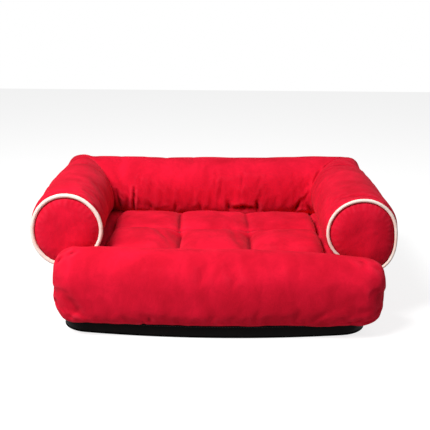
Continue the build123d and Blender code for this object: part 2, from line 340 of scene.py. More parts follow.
base_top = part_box("deck_cloth")[1].z
plan_step = 0.0045
foot = np.array([v.co[:2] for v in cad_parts["base_bottom_cloth"].data.vertices if v.co.z < 1e-5])
foot_middle = (foot.max(axis=0) + foot.min(axis=0)) / 2
foot = np.unique(foot.round(6), axis=0)
turn = np.arctan2(*(foot - foot_middle).T[::-1])
foot = foot[np.argsort(turn)]
lap = np.vstack([foot, foot[:1]])
run = np.r_[0, np.cumsum(np.hypot(*np.diff(lap, axis=0).T))]
plan_count = int(run[-1] / plan_step)
plan = np.stack([np.interp(np.arange(plan_count) * run[-1] / plan_count, run, lap[:, i]) for i in (0, 1)], axis=1)
ahead = np.roll(plan, -1, axis=0) - np.roll(plan, 1, axis=0)
plan_out = np.stack([ahead[:, 1], -ahead[:, 0]], axis=1) / np.hypot(*ahead.T)[:, None]


def on_plan(inset, height):
    """A lap round the base at that height, moved in from its outline."""
    flat = plan - plan_out * np.asarray(inset).reshape(-1, 1)
    return np.column_stack([flat, np.broadcast_to(height, len(flat))])


band_profile = [
    (0.004, 0.0012), (0.0022, 0.0014), (0.0008, 0.0022), (0.0, 0.0042), (-0.0008, 0.0075), (-0.0013, 0.0115),
    (-0.0012, 0.0155), (-0.0005, 0.0192), (0.0004, 0.0216), (0.0014, 0.0232), (0.003, 0.0238), (0.005, 0.0236),
    (0.0055, 0.021), (0.0055, 0.0125), (0.0055, 0.004), (0.005, 0.0018),
]
band = skin("base_side_band_cloth", np.array([on_plan(i, z) for i, z in band_profile]), oxford, looped=True)
where = points_of(band)
ripple = 0.0009 * waves(where * (1, 1, 0.4), 0.03, 2) + 0.0005 * waves(where, 0.011, 5)
side = np.clip(where[:, 2] / 0.006, 0, 1) * np.clip((0.0235 - where[:, 2]) / 0.004, 0, 1)
swell(band, ripple * side)
rounder(band)
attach(band, "shell")
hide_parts("base_side_band", "base_foam_pad")


def new_growth(name, inputs):
    """An empty geometry tree with named inputs, and the outputs that give them."""
    growth = bpy.data.node_groups.new(name, "GeometryNodeTree")
    growth.interface.new_socket("Geometry", in_out="INPUT", socket_type="NodeSocketGeometry")
    for label, kind in inputs.items():
        growth.interface.new_socket(label, in_out="INPUT", socket_type="NodeSocket" + kind)
    growth.interface.new_socket("Geometry", in_out="OUTPUT", socket_type="NodeSocketGeometry")
    return growth, add(growth, "NodeGroupInput").outputs


def end_growth(growth, given, made):
    """Ends a geometry tree in real geometry with its material."""
    real = add(growth, "GeometryNodeRealizeInstances", inputs={"Geometry": made})
    coloured = add(growth, "GeometryNodeSetMaterial",
                   inputs={"Geometry": real.outputs[0], "Material": given["Material"]})
    add(growth, "NodeGroupOutput", inputs={0: coloured.outputs[0]})


def grown(name, points, growth, values, joined=False):
    """Runs a geometry tree on points, or on the line through them, and keeps a plain mesh."""
    points = [tuple(p) for p in points]
    lines = [(i, i + 1) for i in range(len(points) - 1)] if joined else []
    mesh = bpy.data.meshes.new(name)
    mesh.from_pydata(points, lines, [])
    piece = bpy.data.objects.new(name, mesh)
    scene.collection.objects.link(piece)
    modifier = piece.modifiers.new("growth", "NODES")
    modifier.node_group = growth
    for socket in growth.interface.items_tree:
        if socket.in_out == "INPUT" and socket.name in values:
            modifier[socket.identifier] = values[socket.name]
    baked(piece)
    shade_smooth(piece.data)
    return piece


def laid_on(piece, points, lift):
    """The points moved onto a piece's surface, and off it by lift."""
    spots = []
    for point in points:
        spot, way = piece.closest_point_on_mesh(Vector(point))[1:3]
        spots.append(spot + way * lift)
    return spots


# Bonded polyester sewing thread, black here: two plies twisted together every 1 mm, with a slight gloss.
def sewing_thread(name, dark, light):
    thread, tree, shader, coords = new_material(name)
    ply = bands(tree, coords, "DIAGONAL", 0.001)
    finish(shader, mixed(tree, ply, dark, light), relief(tree, ply, 0.5, 0.0002), 0.5)
    return thread


black_thread = sewing_thread("black_sewing_thread", "#0A0909", "#262223")

stitching, given = new_growth("row_of_stitches", {
    "Spacing": "Float", "Stitch Length": "Float", "Thread Width": "Float", "Material": "Material"})
line = add(stitching, "GeometryNodeMeshToCurve", inputs={"Mesh": given["Geometry"]})
line = add(stitching, "GeometryNodeResampleCurve", {"mode": "LENGTH"},
           {"Curve": line.outputs[0], "Length": given["Spacing"]})
along_line = add(stitching, "GeometryNodeInputTangent")
turned = add(stitching, "FunctionNodeAlignRotationToVector", {"axis": "X"}, {"Vector": along_line.outputs[0]})
bead = add(stitching, "GeometryNodeMeshUVSphere", inputs={"Segments": 6, "Rings": 4, "Radius": 0.5})
bead_size = add(stitching, "ShaderNodeCombineXYZ", inputs={
    "X": given["Stitch Length"], "Y": given["Thread Width"], "Z": given["Thread Width"]})
row = add(stitching, "GeometryNodeInstanceOnPoints", inputs={
    "Points": line.outputs[0], "Instance": bead.outputs[0],
    "Rotation": turned.outputs[0], "Scale": bead_size.outputs[0]})
end_growth(stitching, given, row.outputs[0])

band_seam_z = 0.0205
seam_line = laid_on(band, np.vstack([on_plan(-0.003, band_seam_z), on_plan(-0.003, band_seam_z)[:1]]), 0.0002)
band_stitches = grown("base_band_stitches", seam_line, stitching, {
    "Spacing": 0.0042, "Stitch Length": 0.0032, "Thread Width": 0.0007, "Material": black_thread}, joined=True)
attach(band_stitches, "shell")

# Soft PVC, moulded in small round dots on the underside so that the bed doesn't slip: matt, faintly greasy.
soft_pvc, tree, shader, coords = new_material("moulded_pvc_dots")
wear = clouds(tree, coords, 90, 3)
finish(shader, mixed(tree, wear, "#171515", "#2C2929"), relief(tree, wear, 0.3, 0.0002), 0.6)

dotting, given = new_growth("anti_slip_dots", {"Dot Width": "Float", "Dot Height": "Float", "Material": "Material"})
dot = add(dotting, "GeometryNodeMeshUVSphere", inputs={"Segments": 8, "Rings": 4, "Radius": 0.5})
dot_size = add(dotting, "ShaderNodeCombineXYZ", inputs={
    "X": given["Dot Width"], "Y": given["Dot Width"], "Z": given["Dot Height"]})
dots = add(dotting, "GeometryNodeInstanceOnPoints", inputs={
    "Points": given["Geometry"], "Instance": dot.outputs[0], "Scale": dot_size.outputs[0]})
end_growth(dotting, given, dots.outputs[0])

dot_gap = 0.014
dot_height = 0.0014
dot_margin = 0.014
dot_points = []
edge_x, edge_y = plan[:, 0], plan[:, 1]
for row_number in range(-15, 16):
    y = foot_middle[1] + row_number * dot_gap * math.sin(math.pi / 3)
    if not edge_y.min() + dot_margin < y < edge_y.max() - dot_margin:
        continue
    reach = abs(edge_x[abs(edge_y - y) < plan_step]).min() - dot_margin
    first = dot_gap / 2 if row_number % 2 else 0
    for x in np.arange(first - 20 * dot_gap, 20 * dot_gap, dot_gap):
        if abs(x) < reach:
            dot_points.append((x, y, dot_height / 2))
dots = grown("base_anti_slip_dots", dot_points, dotting, {
    "Dot Width": 0.004, "Dot Height": dot_height, "Material": soft_pvc})
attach(dots, "shell")


def panel(name, low, high, pulled, seed):
    """A cloth panel as large as the base, with its edge turned under."""
    reach = np.r_[np.linspace(0.02, 0.94, 30), 0.97, 0.99, 0.997]
    middle = np.array([0, foot_middle[1], 0])
    under = [middle + (on_plan(0, low) - middle) * (s, s, 1) for s in reach]
    over = [middle + (on_plan(0, high) - middle) * (s, s, 1) for s in reach[::-1]]
    edge = [on_plan(-0.0002, (low + high) / 2)]
    cloth = skin(name, np.array(under + edge + over), oxford)
    where = points_of(cloth)
    inside = np.clip(1 - np.hypot(where[:, 0] / 0.25, (where[:, 1] - middle[1]) / 0.21) ** 4, 0, 1)
    lift = pulled * (waves(where * (1, 1, 0), 0.05, seed) + 0.4 * waves(where * (1, 1, 0), 0.017, seed + 3)) * inside
    where[:, 2] += lift * (where[:, 2] > (low + high) / 2)
    put_points(cloth, where)
    close(cloth.data, fill=True)
    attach(cloth, "shell")
    return cloth


bottom = panel("base_bottom_panel", dot_height / 2, 0.0012, 0.0, 11)
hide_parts("base_bottom_cloth")
deck = panel("base_deck_panel", base_top - 0.001, base_top - 0.0001, 0.0004, 14)
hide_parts("deck_cloth")


# The walls. Three foam blocks in red suede cloth stand on the base and carry the rolls, each pressed hollow on
# top by the roll that lies in it. Only their inner faces and the outsides under the rolls are ever seen.
# Brushed microfibre suede: polyester with a 0.4 mm pile, so it is matt with a soft pale bloom on edges that turn
# away, and clouded in patches where a hand has laid the pile the other way. The pile is drawn at 1.1 mm.
suede, tree, shader, coords = new_material("brushed_suede_cloth")
nap_way = add(tree, "ShaderNodeMapping", {"vector_type": "POINT"}, {"Vector": coords, "Scale": (1.15, 1, 0.75)})
marks = clouds(tree, nap_way.outputs[0], 62, 4, Roughness=0.6, Distortion=1.1)
pile = clouds(tree, coords, 850, 2)
painted_shade_and_highlight = add(tree, "ShaderNodeAttribute", {"attribute_name": "painted_shade_and_highlight"}).outputs["Fac"]
patches = clouds(tree, nap_way.outputs[0], 17, 3, Roughness=0.5, Distortion=0.5)
tone = ramp(tree, patches, 0.3, 0.7, "#C30F27", "#E91736")
tone = mixed(tree, ranged(tree, marks, From_Min=0.35, From_Max=0.7, To_Max=0.3), tone, "#B80E27")
# Painted shade: cloth that lies hollow is darkened towards #5E0410.
tone = mixed(tree, ranged(tree, painted_shade_and_highlight, From_Min=0.12, To_Max=0.75), tone, "#5E0410")
# Painted highlight: cloth that stands proud is lightened towards #F5405A.
tone = mixed(tree, ranged(tree, painted_shade_and_highlight, From_Min=-0.1, From_Max=-0.9, To_Max=0.35), tone, "#F5405A")
finish(shader, tone, relief(tree, pile, 0.6, 0.0004, Normal=relief(tree, marks, 0.5, 0.0012)), 0.9,
       Specular_IOR_Level=0.06, Sheen_Weight=0.08, Sheen_Roughness=0.45, Sheen_Tint=linear("#FF8A98"))


settle_frames = 18


def puff_up(piece, held, pressure, spare, reach):
    """Lets cloth blow out against the points that its seams hold, with spare cloth to wrinkle."""
    before = points_of(piece)
    group = piece.vertex_groups.new(name="held")
    group.add([int(i) for i in np.flatnonzero(held)], 1, "REPLACE")
    cloth = piece.modifiers.new("stuffing", "CLOTH")
    cloth.settings.quality = 4
    cloth.settings.mass = 0.15
    cloth.settings.tension_stiffness = cloth.settings.compression_stiffness = 15
    cloth.settings.shear_stiffness = 5
    cloth.settings.bending_stiffness = 0.3
    cloth.settings.use_pressure = True
    cloth.settings.uniform_pressure_force = pressure
    cloth.settings.shrink_min = -spare
    cloth.settings.vertex_group_mass = "held"
    cloth.settings.effector_weights.gravity = 0
    cloth.point_cache.frame_start, cloth.point_cache.frame_end = 1, settle_frames
    for moment in range(1, settle_frames + 1):
        scene.frame_set(moment)
    blown = piece.evaluated_get(bpy.context.evaluated_depsgraph_get()).data
    after = np.empty(len(before) * 3, np.float32)
    blown.vertices.foreach_get("co", after)
    piece.modifiers.remove(cloth)
    piece.vertex_groups.clear()
    scene.frame_set(1)
    step = after.reshape(-1, 3) - before
    length = np.linalg.norm(step, axis=1).clip(1e-9)
    put_points(piece, before + step * (np.minimum(length, reach) / length)[:, None])


wall_voxel = 0.005
wall_clear = 0.0584
back_wall_stretch = 1.07
roll_radius = 0.058
arm_x = 0.242
roll_z = 0.158
hollow_drop = 0.035
back_y = 0.179
for node, cover in (
    ("left_side_wall", "left_wall_cloth"), ("right_side_wall", "right_wall_cloth"), ("back_wall", "back_wall_cloth"),
):
    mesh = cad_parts[node + "_foam"].data.copy()
    wall = object_of(cover, mesh, suede)
    body = bmesh.new()
    body.from_mesh(mesh)
    bmesh.ops.remove_doubles(body, verts=body.verts, dist=1e-6)
    body.to_mesh(mesh)
    body.free()
    voxels = wall.modifiers.new("voxels", "REMESH")
    voxels.mode = "VOXEL"
    voxels.voxel_size = wall_voxel
    baked(wall)
    wall.data.materials.clear()
    wall.data.materials.append(suede)
    low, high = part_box(node + "_cover")
    where = points_of(wall)
    if node == "back_wall":
        where[:, 0] *= back_wall_stretch
    puffed = 0.002 + 0.001 * waves(where, 0.035, 4) + 0.0005 * waves(where, 0.014, 6)
    where += points_of(wall, "normal") * puffed[:, None]
    where = np.clip(where, np.array(low) + 0.0001, np.array(high) - 0.0001)
    for off in (abs(where[:, 0]) - arm_x, where[:, 1] - back_y):
        near = abs(off) < wall_clear
        under_roll = roll_z - np.sqrt((wall_clear ** 2 - off ** 2).clip(0))
        where[:, 2] = np.where(near, np.minimum(where[:, 2], under_roll), where[:, 2])
    put_points(wall, where)
    smooth = wall.modifiers.new("smooth", "SMOOTH")
    smooth.factor, smooth.iterations = 0.5, 6
    baked(wall)
    rounder(wall)
    shade_smooth(wall.data)
    mark_shade_and_highlight(wall)
    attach(wall, "shell")
    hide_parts(node + "_cover", node + "_foam")


# The front bolster. A long stuffed pillow of red suede lies on the front of the deck and closes the bed. Its ends
# are gathered flat, its foot is pressed flat on the deck and its lower lip hangs a little over the black band.
def press_folds(piece, folds):
    """Presses narrow folds into the cloth. Each has two ends near its surface, a depth and a half width."""
    where, way = points_of(piece), points_of(piece, "normal")
    move = np.zeros(len(where))
    for start, end, deep_by, half in folds:
        start, end = Vector(start), Vector(end)
        share = np.linspace(0, 1, 24)
        line = np.array([piece.closest_point_on_mesh(start.lerp(end, t))[1] for t in share])
        off = np.linalg.norm(where[:, None] - line[None], axis=2)
        nearest = off.argmin(axis=1)
        off = off.min(axis=1) / half
        taper = np.sin(math.pi * (0.1 + 0.8 * share[nearest]))
        move += deep_by * taper * (0.45 * np.exp(-off ** 2 / 8) - np.exp(-off ** 2 / 2))
    put_points(piece, where + way * move[:, None])


bolster_low, bolster_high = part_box("front_bolster_cover")
bolster_left, bolster_right = -0.256, 0.271
bolster_end = 0.04
bolster_power = 2.25
bolster_foot_power = 1.5
bolster_lip = 0.0195
bolster_foot_z = bolster_low.z + 0.0002
lip_start = -0.216
grow = np.linspace(0.07, 0.99, 17)
end_steps = bolster_end * (1 - (1 - grow ** 3) ** (1 / 3))
between = np.linspace(bolster_left + end_steps[-1] + 0.004, bolster_right - end_steps[-1] - 0.004, 92)
along = np.r_[bolster_left + end_steps, between, bolster_right - end_steps[::-1]]
fullness = np.r_[grow, np.ones(len(between)), grow[::-1]]
around = full_turn(84)
depth = (bolster_high.y - bolster_low.y) / 2
height = (bolster_high.z - bolster_low.z) / 2
middle_y, middle_z = (bolster_high.y + bolster_low.y) / 2, (bolster_high.z + bolster_low.z) / 2
cos, sin = np.cos(around), np.sin(around)
power = bolster_power + bolster_foot_power * np.clip(-sin, 0, 1) ** 0.5
section_y = depth * np.sign(cos) * abs(cos) ** (2 / power)
section_z = height * np.sign(sin) * abs(sin) ** (2 / power)
rows = np.empty((len(along), len(around), 3))
for i, (x, full) in enumerate(zip(along, fullness)):
    rows[i, :, 0] = x
    rows[i, :, 1] = middle_y + section_y * full
    rows[i, :, 2] = middle_z + section_z * full
front = np.clip((middle_y - rows[..., 1]) / depth, 0, 1)
bow = 0.003 - 0.010 * (rows[..., 0] / 0.26) ** 2
rows[..., 1] -= bow * front
lip = ease((lip_start - rows[..., 1]) / 0.012)
lowest = bolster_foot_z - (bolster_low.z - bolster_lip) * lip
droop = np.clip((middle_z - rows[..., 2]) / height, 0, 1) ** 2 * front * 0.009
fuller_left = 0.004 * ((0.15 - rows[..., 0]) / 0.35).clip(0, 1)
fuller_left -= 0.012 * ((rows[..., 0] - 0.11) / 0.13).clip(0, 1) ** 1.5
fuller_left *= ((rows[..., 2] - middle_z) / height).clip(0, 1)
rows[..., 2] = np.maximum(rows[..., 2] - droop + fuller_left, lowest)
bolster = skin("front_bolster_cloth", rows, suede)
where = points_of(bolster)
to_end = np.minimum(where[:, 0] - bolster_left, bolster_right - where[:, 0])
gathers = 0.0009 * np.exp(-to_end / 0.03) * waves(where * (0.2, 1, 1), 0.012, 41)
puckers = 0.0012 * ((0.055 - where[:, 2]) / 0.03).clip(0, 1) * waves(where * (1, 0.2, 0.2), 0.014, 43)
unevenness = 0.0018 * waves(where, 0.07, 3) + 0.0008 * waves(where, 0.022, 8)
where = swell(bolster, unevenness + gathers + puckers)
where[:, 2] = np.maximum(where[:, 2], np.where(where[:, 1] > lip_start, bolster_foot_z, bolster_lip - 0.001))
put_points(bolster, where)
puff_up(bolster, held=where[:, 2] < bolster_low.z + 0.004, pressure=4, spare=0.014, reach=0.0035)
where = points_of(bolster)
where[:, 1] = np.minimum(where[:, 1], bolster_high.y + 0.0005)
on_deck = where[:, 1] > lip_start - 0.002
where[:, 2] = np.maximum(where[:, 2], np.where(on_deck, bolster_foot_z, bolster_lip - 0.001))
put_points(bolster, where)
rounder(bolster)
press_folds(bolster, [
    ((-0.249, -0.210, 0.122), (-0.238, -0.210, 0.132), 0.0045, 0.0030),
    ((-0.230, -0.211, 0.134), (-0.220, -0.204, 0.139), 0.0040, 0.0030),
    ((0.262, -0.210, 0.112), (0.250, -0.208, 0.122), 0.0050, 0.0045),
    ((0.241, -0.209, 0.126), (0.228, -0.200, 0.133), 0.0035, 0.0050),
    ((-0.112, -0.231, 0.034), (-0.112, -0.221, 0.021), 0.0030, 0.0030),
    ((-0.100, -0.235, 0.046), (-0.103, -0.230, 0.030), 0.0025, 0.0030),
    ((0.205, -0.226, 0.040), (0.222, -0.221, 0.028), 0.0030, 0.0040),
    ((-0.215, -0.222, 0.050), (-0.228, -0.216, 0.036), 0.0030, 0.0040),
])
mark_shade_and_highlight(bolster)
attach(bolster, "shell")
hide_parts("front_bolster_cover", "front_bolster_filling")


# The arms. Two stuffed suede rolls lie in the side walls' hollows, sewn to the piped caps in front and to the
# back roll along a slanting seam behind. They are fullest outside and above, most at the rear corners.
arm_front = -0.1432
seam_offset = 0.0008
seam_gap = 0.0004
arm_turns = 88
arm_rows = 84
arm_angle = full_turn(arm_turns)


def lobe(angle, degrees, power):
    """A smooth bump, 1 at that angle and 0 a quarter turn from it."""
    return np.cos(angle - math.radians(degrees)).clip(0, 1) ** power


def on_wall(angle):
    """The roll's foot, which fills the wall's hollow."""
    return 0.0025 * lobe(angle, 262, 4)


def corner_radius(left_side, angle):
    """The arm's and the back roll's shared section on the slanting seam."""
    outer, inner, lower = (0.002, 0.018, 0.0) if left_side else (0.001, 0.007, 0.003)
    full = roll_radius - 0.0005 + outer * lobe(angle, 36, 5) + lower * lobe(angle, 218, 6) + on_wall(angle)
    return full - inner * lobe(angle, 145, 1.6) - 0.010 * lobe(angle, 340, 3)


def ring_middle(left_side, angle):
    """How far the piping's cord runs from the arm's middle. Both rings sag, the right one more."""
    if left_side:
        return 0.0550 + 0.0028 * lobe(angle, 45, 1) + 0.0085 * lobe(angle, 300, 2.5)
    return 0.0538 + 0.003 * lobe(angle, 180, 2) + 0.0160 * lobe(angle, 296, 4)


def arm_radius(left_side, angle, y):
    outside, inside = (0.0065, -0.006) if left_side else (0.0015, 0.0035)
    own = roll_radius + outside * lobe(angle, 32, 3.5) + inside * lobe(angle, 185, 2) + on_wall(angle)
    toward_corner = ease((y - 0.02) / 0.17)
    full = own + (corner_radius(left_side, angle) - own) * toward_corner
    from_seam = 1 - np.exp(-(y - arm_front) / 0.009)
    seam = ring_middle(left_side, angle) + seam_offset
    return seam + (full - seam) * from_seam


def arm_lean(left_side, y, angle):
    """How far the arm leans outwards towards the rear. Its foot leans least, because it is sewn to the wall."""
    return (0.017 if left_side else 0.002) * ease((y + 0.15) / 0.3) * (1 - 0.8 * lobe(angle, 250, 1.5))


def end_x(left_side, angle):
    """How far from the bed's middle the arm's and the back roll's slanting seam runs."""
    return arm_x + arm_lean(left_side, back_y, angle) + corner_radius(left_side, angle) * np.cos(angle)


def held_points(where, turns):
    """The points that a roll's two end seams hold, and those that lie in the wall's hollow."""
    held = np.zeros(len(where), bool)
    held[:turns] = held[-turns:] = True
    return held, where[:, 2] < roll_z - hollow_drop


sides = (True, "left", -1), (False, "right", 1)
for left_side, side_name, sign in sides:
    rows = np.empty((arm_rows, arm_turns, 3))
    last = back_y - seam_gap + corner_radius(left_side, arm_angle) * np.cos(arm_angle)
    for i, t in enumerate(np.linspace(0, 1, arm_rows)):
        t = t * (0.75 + 0.25 * t)
        y = arm_front + (last - arm_front) * t
        radius = arm_radius(left_side, arm_angle, y)
        rows[i, :, 0] = sign * (arm_x + arm_lean(left_side, y, arm_angle) + radius * np.cos(arm_angle))
        rows[i, :, 1] = y
        rows[i, :, 2] = roll_z + radius * np.sin(arm_angle)
    arm = skin(side_name + "_arm_cloth", rows, suede)
    where = points_of(arm)
    held, under = held_points(where, arm_turns)
    free = np.clip((where[:, 1] - arm_front) / 0.02, 0, 1) * ~held * ~under
    wrinkled = ease((where[:, 1] - 0.03) / 0.1) + 0.8 * np.exp(-(where[:, 1] - arm_front) / 0.02)
    wrinkles = 0.0011 * wrinkled * waves(where * (0.3, 1, 0.3), 0.013, 45 + sign)
    swell(arm, (0.0016 * waves(where, 0.05, 6 + sign) + wrinkles) * free)
    puff_up(arm, held | under, pressure=4, spare=0.022, reach=0.0035)
    rounder(arm)
    mark_shade_and_highlight(arm)
    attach(arm, "shell")
    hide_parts(side_name + "_arm_cover", side_name + "_arm_filling")


# The arms' round front ends: a disc of suede, gently domed by the filling behind it, and round it a piping of
# cream twill sewn over a cotton cord, caught in the seam between the disc and the arm.
# Cotton twill: dry and matt, with a slanting rib 1 mm apart.
twill, tree, shader, coords = new_material("cream_cotton_twill")
slant = add(tree, "ShaderNodeMapping", inputs={"Vector": coords, "Rotation": (0, 0.8, 0.6)})
rib = bands(tree, slant.outputs[0], "X", 0.0012, Distortion=1.5, Detail=2)
tone = ramp(tree, clouds(tree, coords, 60, 3), 0.3, 0.7, "#FBDDCE", "#FFF3E8")
finish(shader, mixed(tree, 0.09, tone, rib, blend_type="MULTIPLY"), relief(tree, rib, 0.5, 0.0003), 0.85,
       Sheen_Weight=0.15)

cap_y = -0.146
cap_dome = 0.009
cap_gap = 0.0030
cap_recess = 0.0030
cap_thick = 0.0012
for left_side, side_name, sign in sides:
    lap = full_turn(260)
    tube = full_turn(16)
    cord_radius = 0.0034 if left_side else 0.0027
    thick = cord_radius * (1 + 0.05 * waves(np.stack([np.cos(lap), np.sin(lap), lap * 0], axis=1), 0.12, 9))
    out = ring_middle(left_side, lap)[:, None] + thick[:, None] * np.cos(tube)
    rows = np.stack([sign * (arm_x + out * np.cos(lap)[:, None]), cap_y - thick[:, None] * np.sin(tube),
                     roll_z + out * np.sin(lap)[:, None]], axis=2)
    cord = skin(side_name + "_arm_piping", rows, twill, looped=True)
    rounder(cord)
    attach(cord, "shell")
    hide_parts(side_name + "_arm_front_piping")

    rings = np.r_[np.linspace(0.03, 0.9, 24), 0.94, 0.97, 0.99, 1.0]
    lap = full_turn(120)
    cap_edge = ring_middle(left_side, lap) - cap_gap
    front_rows, rear_rows = [], []
    for share_out in rings:
        dome = cap_y + cap_recess - (cap_dome + cap_recess) * (1 - share_out ** 5) ** 0.75
        spot = np.stack([
            sign * (arm_x + cap_edge * share_out * np.cos(lap)),
            np.full(len(lap), dome),
            roll_z + cap_edge * share_out * np.sin(lap),
        ], axis=1)
        front_rows.append(spot)
        rear_rows.append(spot + (0, cap_thick, 0))
    cap = skin(side_name + "_arm_cap_cloth", np.array(front_rows + rear_rows[::-1]), suede)
    where = points_of(cap)
    turn = np.arctan2(where[:, 2] - roll_z, sign * where[:, 0] - arm_x)
    out = np.hypot(where[:, 0] - sign * arm_x, where[:, 2] - roll_z) / (ring_middle(left_side, turn) - cap_gap)
    soft = np.clip((1 - out) / 0.12, 0, 1)
    flat = where * (1, 0, 1)
    where[:, 1] += soft * (0.0014 * waves(flat, 0.028, 12 + sign) + 0.0005 * waves(flat, 0.011, 5))
    pleat = np.sin(turn * 31 + 2.5 * waves(flat, 0.03, 21))
    where[:, 1] += 0.0002 * pleat * np.clip((out - 0.72) / 0.15, 0, 1) * np.clip((1.0 - out) / 0.05, 0, 1)
    put_points(cap, where)
    rounder(cap)
    mark_shade_and_highlight(cap)
    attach(cap, "shell")
    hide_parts(side_name + "_arm_front_cap")


# The back roll. The same stuffed suede roll lies across the rear in the back wall's hollow. Its lower front is
# gathered where it meets the wall, with deep short pleats at the left and behind the middle puff.
back_turns = 88
back_rows = 128
back_angle = full_turn(back_turns)
rows = np.empty((back_rows, back_turns, 3))
left_end = seam_gap - end_x(True, back_angle)
right_end = end_x(False, back_angle) - seam_gap
for i, t in enumerate(np.linspace(0, 1, back_rows)):
    x = left_end + (right_end - left_end) * t
    own = roll_radius - 0.0065 * lobe(back_angle, 86, 2) + 0.010 * lobe(back_angle, 231, 5)
    left_share = ease((-x - 0.08) / 0.16)
    right_share = ease((x - 0.08) / 0.16)
    radius = own + (corner_radius(True, back_angle) - own) * left_share
    radius = radius + (corner_radius(False, back_angle) - radius) * right_share
    rows[i, :, 0] = x
    rows[i, :, 1] = back_y + radius * np.cos(back_angle)
    rows[i, :, 2] = roll_z + radius * np.sin(back_angle)
back = skin("back_roll_cloth", rows, suede)

where = points_of(back)
held, under = held_points(where, back_turns)
free = ~held * ~under
low_front = ((roll_z + 0.005 - where[:, 2]) / 0.03).clip(0, 1) * (where[:, 1] < back_y)
gathers = 0.0022 * low_front * waves(where * (1, 0.12, 0.12), 0.012, 47)
swell(back, (0.0016 * waves(where, 0.05, 17) + gathers) * free)
puff_up(back, held | under, pressure=4, spare=0.02, reach=0.0035)
rounder(back)
press_folds(back, [
    ((-0.164, 0.127, 0.160), (-0.165, 0.138, 0.110), 0.009, 0.0026),
    ((-0.199, 0.129, 0.155), (-0.191, 0.137, 0.116), 0.007, 0.0030),
    ((-0.179, 0.128, 0.144), (-0.177, 0.136, 0.113), 0.003, 0.0035),
    ((-0.132, 0.123, 0.128), (-0.129, 0.129, 0.112), 0.004, 0.0040),
    ((-0.080, 0.119, 0.135), (-0.082, 0.127, 0.110), 0.004, 0.0035),
    ((-0.033, 0.117, 0.130), (-0.031, 0.127, 0.110), 0.003, 0.0030),
    ((0.022, 0.118, 0.134), (0.026, 0.124, 0.112), 0.007, 0.0036),
    ((0.051, 0.117, 0.128), (0.052, 0.126, 0.110), 0.006, 0.0040),
    ((0.080, 0.119, 0.136), (0.082, 0.125, 0.110), 0.008, 0.0030),
    ((0.026, 0.120, 0.118), (0.078, 0.120, 0.118), 0.010, 0.0055),
    ((0.166, 0.123, 0.141), (0.155, 0.128, 0.113), 0.007, 0.0032),
    ((0.179, 0.126, 0.131), (0.190, 0.137, 0.110), 0.006, 0.0034),
])
mark_shade_and_highlight(back)
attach(back, "shell")
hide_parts("back_roll_cover", "back_roll_filling")


# The seat cushion. A loose pad with six sewn puffs, three across and two deep, in suede above the side seam and
# plain lining below it. Two threads tie it through where the seams cross.
bottom_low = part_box("cushion_bottom_cover")[0]
seat_half = 0.1815
seat_front, seat_rear = -0.1445, 0.1148
seat_middle = (seat_front + seat_rear) / 2
seat_depth = (seat_rear - seat_front) / 2
side_seam_z = 0.0733
seat_crown = 0.130
seam_x = 0.0608
shoulder, lower_shoulder = 0.020, 0.022
plan_corner = 0.026
puff_sink = 0.024
row_sink = 0.013


def edge_run(half, drop, radius, cells):
    """Places along half a section, as (how far out, how far down), from the middle over the shoulder.

    cells gives how many start from each named place."""
    arc = math.pi / 2 * radius
    total = half - radius + arc + drop - radius
    stops = [*cells, total]
    places = np.concatenate([
        np.linspace(a, b, count, endpoint=False) for a, b, count in zip(stops, stops[1:], cells.values())
    ] + [[total]])
    bend = np.clip((places - half + radius) / radius, 0, math.pi / 2)
    out = np.minimum(places, half - radius) + radius * np.sin(bend)
    down = radius - radius * np.cos(bend) + np.clip(places - (half - radius + arc), 0, None)
    return out, down


def both_ways(half_run):
    out, down = half_run
    return np.r_[-out[::-1], out[1:]], np.r_[down[::-1], down[1:]]


def pad(across, deep, level, drop, sign):
    """Half of a pillow on a grid: flat or crowned in the middle, and down to its seam at the edges."""
    x, x_down = both_ways(across)
    y, y_down = both_ways(deep)
    grid_x, grid_y = np.meshgrid(x, y)
    down = np.maximum(*np.meshgrid(x_down, y_down))
    both = np.minimum(*np.meshgrid(x_down, y_down))
    down = np.minimum(drop, down + 0.45 * both * (1 - down / drop))
    over_x = (abs(grid_x) - (seat_half - plan_corner)).clip(0) / plan_corner
    over_y = (abs(grid_y) - (seat_depth - plan_corner)).clip(0) / plan_corner
    round_x = over_x * np.sqrt(1 - over_y ** 2 / 2)
    round_y = over_y * np.sqrt(1 - over_x ** 2 / 2)
    grid_x = np.sign(grid_x) * (abs(grid_x) - plan_corner * (over_x - round_x))
    grid_y = np.sign(grid_y) * (abs(grid_y) - plan_corner * (over_y - round_y))
    return np.stack([grid_x, grid_y + seat_middle, level - sign * down], axis=2)


drop_above = seat_crown - side_seam_z
top = pad(edge_run(seat_half, drop_above, shoulder, {0: 13, seam_x: 42}),
          edge_run(seat_depth, drop_above, shoulder, {0: 42}), seat_crown, drop_above, 1)
pad_x = top[top.shape[0] // 2, :, 0].copy()
x, y = top[..., 0].copy(), top[..., 1]
wide, deep = abs(x), abs(y - seat_middle)
outer_middle = (seam_x + seat_half) / 2
near_top = np.clip((top[..., 2] - side_seam_z) / drop_above, 0, 1) ** 0.5
front_row = ease((seat_middle - y) / 0.02)
puff_x = np.where(wide < seam_x, wide / seam_x, abs(wide - outer_middle) * 2 / (seat_half - seam_x)).clip(0, 1)
puff_y = (abs(deep - seat_depth / 2) * 2 / seat_depth).clip(0, 1)
right_seam = ease(x / 0.03) * (1 - front_row)
sink_x = (0.014 + 0.012 * front_row - 0.004 * right_seam) * (1 - (1 - puff_x ** (2.8 - 0.8 * front_row)) ** 0.55)
sink_x *= np.where(wide > outer_middle, 0.15, 1)
sink_y = np.where(deep < seat_depth / 2, row_sink, puff_sink) * (1 - (1 - puff_y ** 2.3) ** 0.6)
sink_y -= 0.003 * front_row * (wide > seam_x) * (1 - puff_x ** 2)
top[..., 2] -= np.hypot(sink_x, sink_y.clip(0)) * near_top - (-sink_y).clip(0)
over_walls = ease((top[..., 2] - 0.102) / 0.014)
top[..., 0] *= 1 + np.where(x < 0, 0.038, 0.028) * over_walls
seams_left = 0.0045 + 0.0035 * ease((y - seat_middle) / 0.1)
